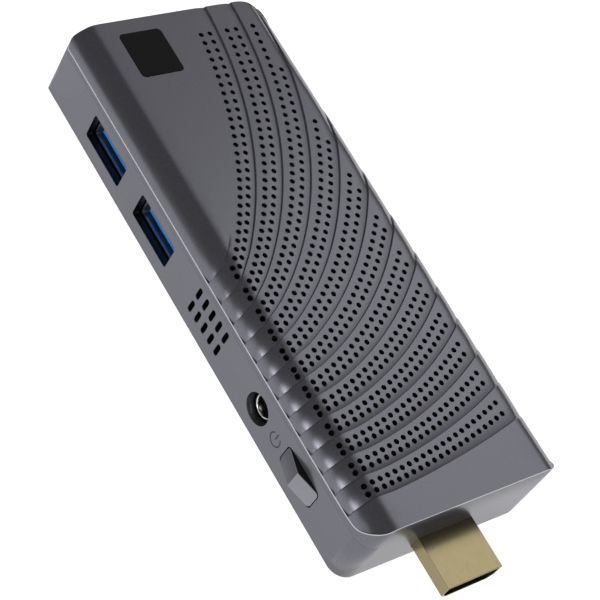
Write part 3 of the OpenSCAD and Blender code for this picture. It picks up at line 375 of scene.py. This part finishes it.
toe_turn, toe_fade, ledge_turn, fall_turn, fall_from, fall_over = 35, 55, 8, 60, 2.6, 5
skin_step, no_line = 0.8, -9.0


def arc(s):
    """Radius and middle of the arc numbered s, from the plug end and the port wall, in mm."""
    radius = 1 / sum(c * s ** i for i, c in enumerate(arc_bend))
    lean = np.radians(sum(c * s ** i for i, c in enumerate(arc_lean)))
    foot = sum(c * s ** i for i, c in enumerate(arc_foot))
    return radius, foot - radius * np.cos(lean), arc_base - radius * np.sin(lean)


def angle_at_y(s, y):
    """Angle at which an arc is y from the port wall, or a half turn where it never is."""
    radius, _, mid_y = arc(s)
    share = (y - mid_y) / radius
    return np.where(share < 1, np.arcsin(np.clip(share, -1, 1)), math.pi)


def angle_at_x(s, x):
    """Angle at which an arc is x from the plug end, or a half turn where it never is."""
    radius, mid_x, _ = arc(s)
    share = (x - mid_x) / radius
    return np.where(np.abs(share) < 1, np.arccos(np.clip(share, -1, 1)), math.pi)


def arc_point(s, angle):
    """Point of an arc at an angle, from the plug end and the port wall."""
    radius, mid_x, mid_y = arc(s)
    return mid_x + radius * np.cos(angle), mid_y + radius * np.sin(angle)


def drifted(y):
    """The toes on the near shoulder lean less than the arcs that they end."""
    return np.where(y < drift_from, drift_from + (y - drift_from) * drift, y)


def number_at(x, y):
    """Number of the arc that passes through each point."""
    numbers = np.arange(-1.5, 13.6, 0.1)
    runs = np.array([arc_point(s, angle_at_y(s, drifted(y)))[0] for s in numbers])
    found = np.empty(len(x))
    for i in range(len(x)):
        run = runs[:, i]
        last = len(run)
        while last > 2 and run[last - 1] >= run[last - 2]:
            last -= 1
        found[i] = np.interp(-x[i], -run[:last], numbers[:last])
    return found


def run_over(y):
    """Distance over the skin from the port wall's edge."""
    quarter = shoulder * math.pi / 2
    near = shoulder * np.arccos(1 - np.clip(y, 0, shoulder) / shoulder)
    far = shoulder * np.arccos(1 - np.clip(width - y, 0, shoulder) / shoulder)
    return near + np.clip(y - shoulder, 0, width - 2 * shoulder) + quarter - far


def eased(t):
    """Smooth step from 0 to 1."""
    t = np.clip(t, 0, 1)
    return t * t * (3 - 2 * t)


def crease_at(y):
    """Where the crease lies before each ridge, as a share of a ridge."""
    return -0.22 - 0.09 * eased((y - 2) / 8)


def relief(place, y):
    """How far the skin lies under its smooth form, at a place counted in ridges from the first crease."""
    turn = np.degrees(np.arccos(1 - np.clip(np.minimum(y, width - y), 0, shoulder) / shoulder))
    near = y < width / 2
    toe = 1 - eased((turn - toe_turn) / toe_fade)
    deep = roll_deep + (toe_deep - roll_deep) * toe * near
    deep = deep * np.where(near, 0.7 + 0.3 * eased(turn / 16), 0.2 + 0.8 * eased((turn - 15) / 60))
    wide = roll_wide + (toe_wide - roll_wide) * toe
    brink = step_wide + (toe_step - step_wide) * toe
    ridge = np.floor(place)
    share = place - ridge
    last = 1 - eased((y - 3) / 4)
    here = np.where(ridge < 0, 0, np.where(ridge < ridges, 1, np.where(ridge == ridges, last, 0)))
    after = np.where(ridge < -1, 0, np.where(ridge < ridges - 1, 1, np.where(ridge == ridges - 1, last, 0)))
    roll = here * deep * np.clip(1 - share / wide, 0, 1) ** 2
    step = after * deep * np.clip((share - 1 + brink) / brink, 0, 1) ** 2
    rim = ledge * (1 - eased(turn / ledge_turn)) * near
    inward = np.clip(1 - (np.minimum(y, width - y) - fall_from) / fall_over, 0, 1)
    fall = slope * eased(turn / fall_turn) * inward ** 3 * (turn > 1)
    return np.maximum(np.maximum(roll, step), rim) + np.minimum(fall, slope)


def skin(x, y, drop):
    """Point of the cover's skin in the part's own frame, in mm."""
    inset = np.maximum(0, shoulder - np.minimum(y, width - y))
    up = np.sqrt(np.maximum(0, shoulder ** 2 - inset ** 2))
    out = np.where(y < width / 2, -inset, inset) / shoulder
    return np.stack([length / 2 + x, y - width / 2 - out * drop, side_h + up - up / shoulder * drop], axis=-1)


turns = np.radians(np.concatenate([np.arange(0, 30, 2.5), np.arange(30, 91, 5)]))
near_levels = shoulder * (1 - np.cos(turns))
far_levels = width - near_levels[::-1]

# Edge of the cover seen from above, from the near blank corner round to the near plug corner and back
edge_points = []
for sx, sy, first in ((-1, -1, 180), (1, -1, 270), (1, 1, 0), (-1, 1, 90)):
    radius = corner_r[(sx, sy)]
    mid = (sx * (length / 2 - radius), sy * (width / 2 - radius))
    for a in np.linspace(first, first + 90, 25):
        normal = (math.cos(math.radians(a)), math.sin(math.radians(a)))
        edge_points.append((mid[0] + radius * normal[0], mid[1] + radius * normal[1], *normal))
edge = []
for a, b in zip(edge_points, edge_points[1:] + edge_points[:1]):
    gap = math.hypot(b[0] - a[0], b[1] - a[1])
    count = max(1, round(gap / 0.4)) if gap > 1 else 1
    edge += [tuple(a[k] + (b[k] - a[k]) * i / count for k in range(4)) for i in range(count)]
edge = np.array(edge)
edge[:, 2:] /= np.linalg.norm(edge[:, 2:], axis=1)[:, None]
edge_y = np.clip(edge[:, 1] + width / 2, 0, width)
from_wall = np.minimum(edge_y, width - edge_y)
rise = np.sqrt(np.maximum(0, shoulder ** 2 - np.maximum(0, shoulder - from_wall) ** 2)) / shoulder


def climb(back, turn):
    """Angle that the rim has climbed up the shoulder: a soft bend from a little before a plug corner into it."""
    t = np.where(back > 0, -0.225 * back, turn)
    return (t + np.sqrt(t * t + bend ** 2)) / 2


back = length / 2 - corner_r[(1, -1)] - edge[:, 0]
climbed = climb(back, np.arccos(1 - np.clip(from_wall, 0, shoulder) / shoulder))
lift = np.where(edge[:, 0] > 0, (shoulder * (1 - np.cos(climbed)) - from_wall) * np.abs(edge[:, 3]), 0)
rim_xy = edge[:, :2] - edge[:, 2:] * (edge_r * rise + lift)[:, None]
rim_x, rim_y = rim_xy[:, 0] - length / 2, np.clip(rim_xy[:, 1] + width / 2, 0, width)


def inside(x, y, margin):
    """True for points at least that far within the cover's edge, seen from above."""
    ok = (x > margin - length) & (x < -margin) & (y > 0) & (y < width)
    for (sx, sy), radius in corner_r.items():
        cx = (-radius if sx > 0 else radius - length)
        cy = (radius if sy < 0 else width - radius)
        out = ((x - cx) * sx > 0) & ((y - cy) * sy > 0)
        ok &= ~out | (np.hypot(x - cx, y - cy) < radius - margin)
    return ok


# Vent holes, two rows on each ridge
vents = []
for ridge in range(ridges):
    for s in (ridge, ridge + second_row):
        first = angle_at_y(s, vents_from)
        last = min(angle_at_y(s, width - vents_clear), angle_at_x(s, vents_clear - length))
        gaps = max(20, round(float(arc(s)[0] * (last - first) / vent_step)))
        vents += [arc_point(s, first + (last - first) * i / gaps) for i in range(gaps + 1)]
vents = np.array(vents, dtype=float)

# Points of the skin: along the creases and rolls, then a plain net on the smooth ends
points, places, lines = [], [], []
for ridge in range(-1, ridges + 1):
    for share in (0.0, 0.03, 0.08, 0.15, 0.23, 0.32, 0.41, 0.5, 0.6, 0.7, 0.78, 0.84, 0.89, 0.93, 0.965, 0.985):
        if ridge < 0 and share < 0.7:
            continue
        base, before = ridge + share, len(points)
        for y in near_levels[1:-1]:
            s = base + crease_at(y)
            points.append((arc_point(s, angle_at_y(s, drifted(y)))[0], y))
        s = base + crease_at(20.0)
        start, stop = angle_at_y(s, shoulder), min(angle_at_y(s, width - shoulder), angle_at_x(s, -length))
        count = max(4, math.ceil(float(arc(s)[0] * (stop - start) / skin_step)))
        for i in range(count + 1):
            x, y = arc_point(s, start + (stop - start) * i / count)
            if y < 10:
                fit_s = base + crease_at(y)
                x = arc_point(fit_s, angle_at_y(fit_s, y))[0]
            points.append((x, y))
        leaves = min(3.1, float(angle_at_x(s, -length)))
        turned_at = [float(angle_at_y(s, y)) for y in far_levels[1:-1]]
        far = [float(stop)] + [a for a in turned_at if stop < a < leaves]
        if len(far) < len(far_levels) - 1 and leaves < 3.1:
            far.append(leaves)
        for a, b in zip(far, far[1:]):
            count = math.ceil(float(arc(s)[0]) * (b - a) / skin_step)
            points += [arc_point(s, a + (b - a) * (i + 1) / count) for i in range(count)]
        places += [base + 1e-6] * (len(points) - before)
        lines += [base if share in (0.0, 0.965, 0.985) else no_line] * (len(points) - before)
points, places, lines = np.array(points, dtype=float), np.array(places), np.array(lines)
net_levels = np.concatenate([near_levels[1:], np.arange(8, 41, 3.0), far_levels[:-1]])
net_x, net_y = np.meshgrid(np.arange(-length + skin_step, 0, 2.0), net_levels)
net = np.stack([net_x.ravel(), net_y.ravel()], axis=1)
net_place = number_at(net[:, 0], net[:, 1]) - crease_at(net[:, 1])
bare = (net_place < -0.3) | (net_place > ridges + 1.1)
points, places = np.concatenate([points, net[bare]]), np.concatenate([places, net_place[bare]])
lines = np.concatenate([lines, np.full(len(points) - len(lines), no_line)])
gap = np.array([np.min(np.hypot(vents[:, 0] - p[0], vents[:, 1] - p[1])) for p in points])
kept = inside(points[:, 0], points[:, 1], skin_step) & (gap > vent_r + 0.12)
back = -corner_r[(1, -1)] - points[:, 0]
from_wall = np.minimum(points[:, 1], width - points[:, 1])
rim_turn = np.where((back > 0) & (back < length / 2), climb(back, 0) + 0.03, 0)
kept &= np.arccos(1 - np.clip(from_wall, 0, shoulder) / shoulder) > rim_turn
points, places, lines = points[kept], places[kept], lines[kept]

# Recess of the plain badge
low, high = (np.array(c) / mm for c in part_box("badge"))
plate, plate_deep, plate_gap = [], 0.3, 0.1
for sx, sy, first in ((1, 1, 0), (-1, 1, 90), (-1, -1, 180), (1, -1, 270)):
    cx = (high if sx > 0 else low)[0] - sx * (1 - plate_gap)
    cy = (high if sy > 0 else low)[1] - sy * (1 - plate_gap)
    for a in np.radians(np.linspace(first, first + 90, 8)):
        plate.append((cx + math.cos(a) - length / 2, cy + math.sin(a) + width / 2))
plate = np.array(plate)
plate_mid = plate.mean(axis=0)
plate_foot = plate_mid + (plate - plate_mid) * 0.995
half = (high - low)[:2] / 2
off = np.abs(points - ((high + low)[:2] / 2 + [-length / 2, width / 2]))
kept = (off[:, 0] > half[0] + 0.3) | (off[:, 1] > half[1] + 0.3)
points, places, lines = points[kept], places[kept], lines[kept]

# A second ring just inside the rim keeps the shading of the ends crisp
brim = edge[rise > 0.3]
brim = brim[:, :2] - brim[:, 2:] * 0.5 + [-length / 2, width / 2]
points = np.concatenate([points, brim])
places = np.concatenate([places, number_at(brim[:, 0], brim[:, 1]) - crease_at(brim[:, 1])])
lines = np.concatenate([lines, np.full(len(brim), no_line)])

# All the points of the skin: rim, holes, recess, net
ring = np.linspace(0, 2 * math.pi, vent_sides, endpoint=False)
holes = (vents[:, None, :] + vent_r * np.stack([np.cos(ring), np.sin(ring)], axis=1)[None]).reshape(-1, 2)
flat = np.concatenate([np.stack([rim_x, rim_y], axis=1), holes, plate, plate_foot, points])
n_rim, n_hole, n_plate = len(rim_x), len(holes), len(plate)
around = flat[:-len(points)]
around_places = number_at(around[:, 0], around[:, 1]) - crease_at(around[:, 1])
drop = relief(np.concatenate([around_places, places]), flat[:, 1])
drop[n_rim + n_hole:n_rim + n_hole + n_plate] = 0
drop[n_rim + n_hole + n_plate:n_rim + n_hole + 2 * n_plate] = plate_deep
outer = skin(flat[:, 0], flat[:, 1], drop)
inner = skin(flat[:, 0], flat[:, 1], drop + skin_t)
links = [(i, (i + 1) % n_rim) for i in range(n_rim)]
for k in range(len(vents)):
    start = n_rim + k * vent_sides
    links += [(start + i, start + (i + 1) % vent_sides) for i in range(vent_sides)]
for start in (n_rim + n_hole, n_rim + n_hole + n_plate):
    links += [(start + i, start + (i + 1) % n_plate) for i in range(n_plate)]
first_point = len(flat) - len(points)
for i in range(len(points) - 1):
    reach = points[i + 1] - points[i]
    if lines[i] > no_line and lines[i] == lines[i + 1] and np.hypot(*reach) < 1.5 * skin_step:
        beside = np.clip(((vents - points[i]) @ reach) / (reach @ reach), 0, 1)
        if np.min(np.hypot(*(points[i] + beside[:, None] * reach - vents).T)) > vent_r + 0.05:
            links.append((first_point + i, first_point + i + 1))
spread = [Vector((x, u)) for x, u in zip(flat[:, 0], run_over(flat[:, 1]))]
_, _, tiles, origin, _, _ = delaunay_2d_cdt(spread, links, [], 1, 1e-7)
origin = [o[0] for o in origin]
tiles = [[origin[i] for i in t] for t in tiles]
middles = np.array([flat[t].mean(axis=0) for t in tiles])
clear = np.array([np.min(np.hypot(vents[:, 0] - p[0], vents[:, 1] - p[1])) for p in middles]) > vent_r * 0.97
tiles = [t for t, ok in zip(tiles, clear) if ok]

# Rounded edge and skirt down to the seam
edge_xy = edge[:, :2]
top_z = outer[:n_rim, 2]
half_way = np.concatenate([edge_xy - edge[:, 2:] * 0.09, top_z[:, None]], axis=1)
turned = np.concatenate([edge_xy, (top_z - 0.2)[:, None]], axis=1)
foot = np.concatenate([edge_xy, np.full((n_rim, 1), seam_z + 0.03)], axis=1)
sole = np.concatenate([edge_xy - edge[:, 2:] * 0.03, np.full((n_rim, 1), seam_z)], axis=1)
lining = np.concatenate([edge_xy - edge[:, 2:] * skin_t, np.full((n_rim, 1), seam_z)], axis=1)
inner[:n_rim, :2] = edge_xy - edge[:, 2:] * skin_t
inner[:n_rim, 2] = top_z - skin_t

count = len(outer)
verts = np.concatenate([outer, inner, half_way, turned, foot, sole, lining])
faces, coats = [], []
# Inner skin and hole walls take bare black ABS, partly as painted shade in the holes.
for t in tiles:
    faces += [t, [i + count for i in reversed(t)]]
    coats += [0, 1]
for k in range(len(vents)):
    loop = [n_rim + k * vent_sides + i for i in range(vent_sides)]
    for a, b in zip(loop, loop[1:] + loop[:1]):
        faces.append([b, a, a + count, b + count])
        coats.append(1)
rows = [list(range(n_rim))] + [list(range(2 * count + k * n_rim, 2 * count + (k + 1) * n_rim)) for k in range(5)]
rows.append(list(range(count, count + n_rim)))
for k, (upper, under) in enumerate(zip(rows, rows[1:])):
    for i in range(n_rim):
        j = (i + 1) % n_rim
        faces.append([upper[i], under[i], under[j], upper[j]])
        # The band round the rim's edge takes the painted highlight; the underside and the lining take bare black ABS.
        coats.append((0, 2, 0, 0, 1, 1)[k])
mesh = bpy.data.meshes.new("cover")
mesh.from_pydata((verts * mm).tolist(), [], faces)
mesh.polygons.foreach_set("material_index", coats)
mesh.polygons.foreach_set("use_smooth", [True] * len(faces))
mesh.set_sharp_from_angle(angle=math.radians(38))
cover = bpy.data.objects.new("cover", mesh)
bpy.context.scene.collection.objects.link(cover)
# Painted highlight: lighter lacquer on the rounded rim, a bright, narrow line along the rim that stands in for light
# caught by the edge.
painted_edge_highlight = finish("metallic_lacquer_painted_edge_highlight", "#bcbcc3", "#cacad0", 1.5, 0.2, 0.002, 0.25, Metallic=0.85)
for coat in (lacquer, black_abs, painted_edge_highlight):
    mesh.materials.append(coat)
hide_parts("top_cover")
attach(cover, "stick")

# Cover's bosses: four posts moulded under the roof, with a blind hole that the case screws cut their thread in.
# Bare black ABS, one with the cover.
screw_at = [(x, y) for x in (-53.0, 53.0) for y in (-16.99, 16.99)]
boss_foot, boss_top, boss_r, pilot_r, pilot_top = 6.95, 17.5, 2.4, 1.0, 11.85
bm = bmesh.new()
for middle in screw_at:
    hole = [(0.3, pilot_top + 0.3), (pilot_r, pilot_top), (pilot_r, boss_foot)]
    rings = spin(bm, hole + [(boss_r - 0.1, boss_foot), (boss_r, boss_foot + 0.1), (boss_r, boss_top)], middle, 2)
    bm.faces.new(rings[0])
    bm.faces.new(rings[-1])
settle(bm, "cover_bosses", "stick", (black_abs,))

# Badge: a plain plate in a recess of the cover, at the blank end.
# Acrylic printed black from behind and glued in.
# Cast acrylic over black: deep gloss, with hairline handling marks.
acrylic = finish("black_backed_cast_acrylic", "#030304", "#060607", 2.0, 0.6, 0.0004, 0.09, IOR=1.25)
dress(acrylic, "badge")
ease_edges("badge", 0.04)

# Case screws: four cross-recessed screws from below, sunk in the tray's floor and biting into the cover's bosses.
# Cold-headed zinc-plated steel with rolled threads.
arm_long, arm_wide, recess, head_z, head_sides = 1.0, 0.34, 0.75, 0.5, 32
head = [(1.55, head_z), (1.75, 0.6), (1.8, 0.8), (1.8, 1.5), (1.7, 1.7), (0.8, 1.7)]
thread = [(0.95 - 0.18 * (i % 2), 1.75 + 0.25 * i) for i in range(36)]
half = arm_wide / 2
cross = [(arm_long, -half), (arm_long, half), (half, half), (half, arm_long), (-half, arm_long), (-half, half)]
cross += [(-x, -y) for x, y in cross]
corners = len(cross)
bm = bmesh.new()
for middle in screw_at:
    rings = spin(bm, head + thread + [(0.3, 10.85)], middle, 2, sides=head_sides)
    bm.faces.new(rings[-1])
    rim = [Vector((v.co.x / mm - middle[0], v.co.y / mm - middle[1])) for v in rings[0]]
    outline = rim + [Vector(c) for c in cross]
    bounds = [(i, (i + 1) % head_sides) for i in range(head_sides)]
    bounds += [(head_sides + i, head_sides + (i + 1) % corners) for i in range(corners)]
    _, _, tiles, origin, _, _ = delaunay_2d_cdt(outline, bounds, [], 1, 1e-7)
    mouth = [bm.verts.new(Vector((middle[0] + x, middle[1] + y, head_z)) * mm) for x, y in cross]
    sunk = [(middle[0] + x * 0.55, middle[1] + y * 0.7, head_z + recess) for x, y in cross]
    floor_of = [bm.verts.new(Vector(s) * mm) for s in sunk]
    spots = rings[0] + mouth
    for t in tiles:
        t = [origin[i][0] for i in t]
        if min(t) < head_sides:
            bm.faces.new([spots[i] for i in t])
        else:
            mid = sum((outline[i] for i in t), Vector((0, 0))) / 3
            if not (abs(mid.x) < half or abs(mid.y) < half):
                bm.faces.new([spots[i] for i in t])
    for i in range(corners):
        j = (i + 1) % corners
        bm.faces.new((mouth[i], mouth[j], floor_of[j], floor_of[i]))
    bm.faces.new(floor_of)
settle(bm, "closing_screws", "stick", (screw_steel,), "case_screws")

# Stage: a plain pale floor that stays white to the eye and in mirrored rays, and an even, dim room.
# Four soft lamps: two on the far side, which the roof mirrors, one low in front and one with a grid at the plug.
bpy.ops.mesh.primitive_plane_add(size=40)
floor = bpy.context.object
floor.name = "floor"
ground = bpy.data.materials.new("pale_floor")
ground.use_nodes = True
ground.node_tree.nodes.clear()
ray = add_node(ground, "ShaderNodeLightPath")
shown = add_node(ground, "ShaderNodeMath", {0: (ray, "Is Camera Ray"), 1: (ray, "Is Glossy Ray")}, operation="ADD")
shown = add_node(ground, "ShaderNodeMath", {
    0: (shown, "Value"), 1: (ray, "Is Transmission Ray")}, operation="ADD", use_clamp=True)
white = add_node(ground, "ShaderNodeMath", {0: (shown, "Value"), 1: 0.95}, operation="MULTIPLY")
matt = add_node(ground, "ShaderNodeBsdfDiffuse", {"Color": linear("#cfcfd1")})
glow = add_node(ground, "ShaderNodeEmission", {"Color": linear("#ffffff"), "Strength": (white, "Value")})
both = add_node(ground, "ShaderNodeAddShader", {0: (matt, "BSDF"), 1: (glow, "Emission")})
add_node(ground, "ShaderNodeOutputMaterial", {"Surface": (both, "Shader")})
floor.data.materials.append(ground)

world = bpy.data.worlds.new("studio")
bpy.context.scene.world = world
world.use_nodes = True
world.node_tree.nodes.clear()
shell = add_node(world, "ShaderNodeBackground", {"Color": linear("#ffffff"), "Strength": 0.1})
add_node(world, "ShaderNodeOutputWorld", {"Surface": (shell, "Background")})


def softbox(name, place, aim, size, power, spread=180):
    """A square lamp at a place, turned to a point, in metres and watts; a grid narrows its spread, in degrees."""
    lamp = bpy.data.lights.new(name, "AREA")
    lamp.size = size
    lamp.energy = power
    lamp.spread = math.radians(spread)
    made = bpy.data.objects.new(name, lamp)
    made.location = place
    made.rotation_euler = (Vector(aim) - Vector(place)).to_track_quat("-Z", "Y").to_euler()
    bpy.context.scene.collection.objects.link(made)


softbox("far_panel", (-0.12, 0.39, 0.46), (0, 0, 0.01), 0.28, 0.23)
softbox("far_sheet", (-0.2, 0.46, 0.55), (0, 0, 0.01), 0.75, 0.82)
softbox("front_strip", (-0.09, -0.5, 0.09), (0, 0, 0.01), 0.2, 0.1)
softbox("plug_panel", (0.33, -0.5, 0.12), (0.12, -0.02, 0.005), 0.5, 0.25, 40)

# Camera, worked out from the photograph's straight edges
camera = bpy.data.objects.new("camera", bpy.data.cameras.new("camera"))
camera.data.lens = 114
camera.data.sensor_width = 36
camera.data.clip_start = 0.01
right = Vector((0.49083, 0.77571, 0.39668))
up = Vector((-0.80202, 0.22442, 0.55353))
turned_to = Matrix((right, up, right.cross(up))).transposed().to_4x4()
camera.matrix_world = Matrix.Translation(Vector((134.11, -224.16, 283.02)) * mm) @ turned_to
bpy.context.scene.collection.objects.link(camera)
bpy.context.scene.camera = camera

bpy.context.scene.view_settings.view_transform = "Standard"
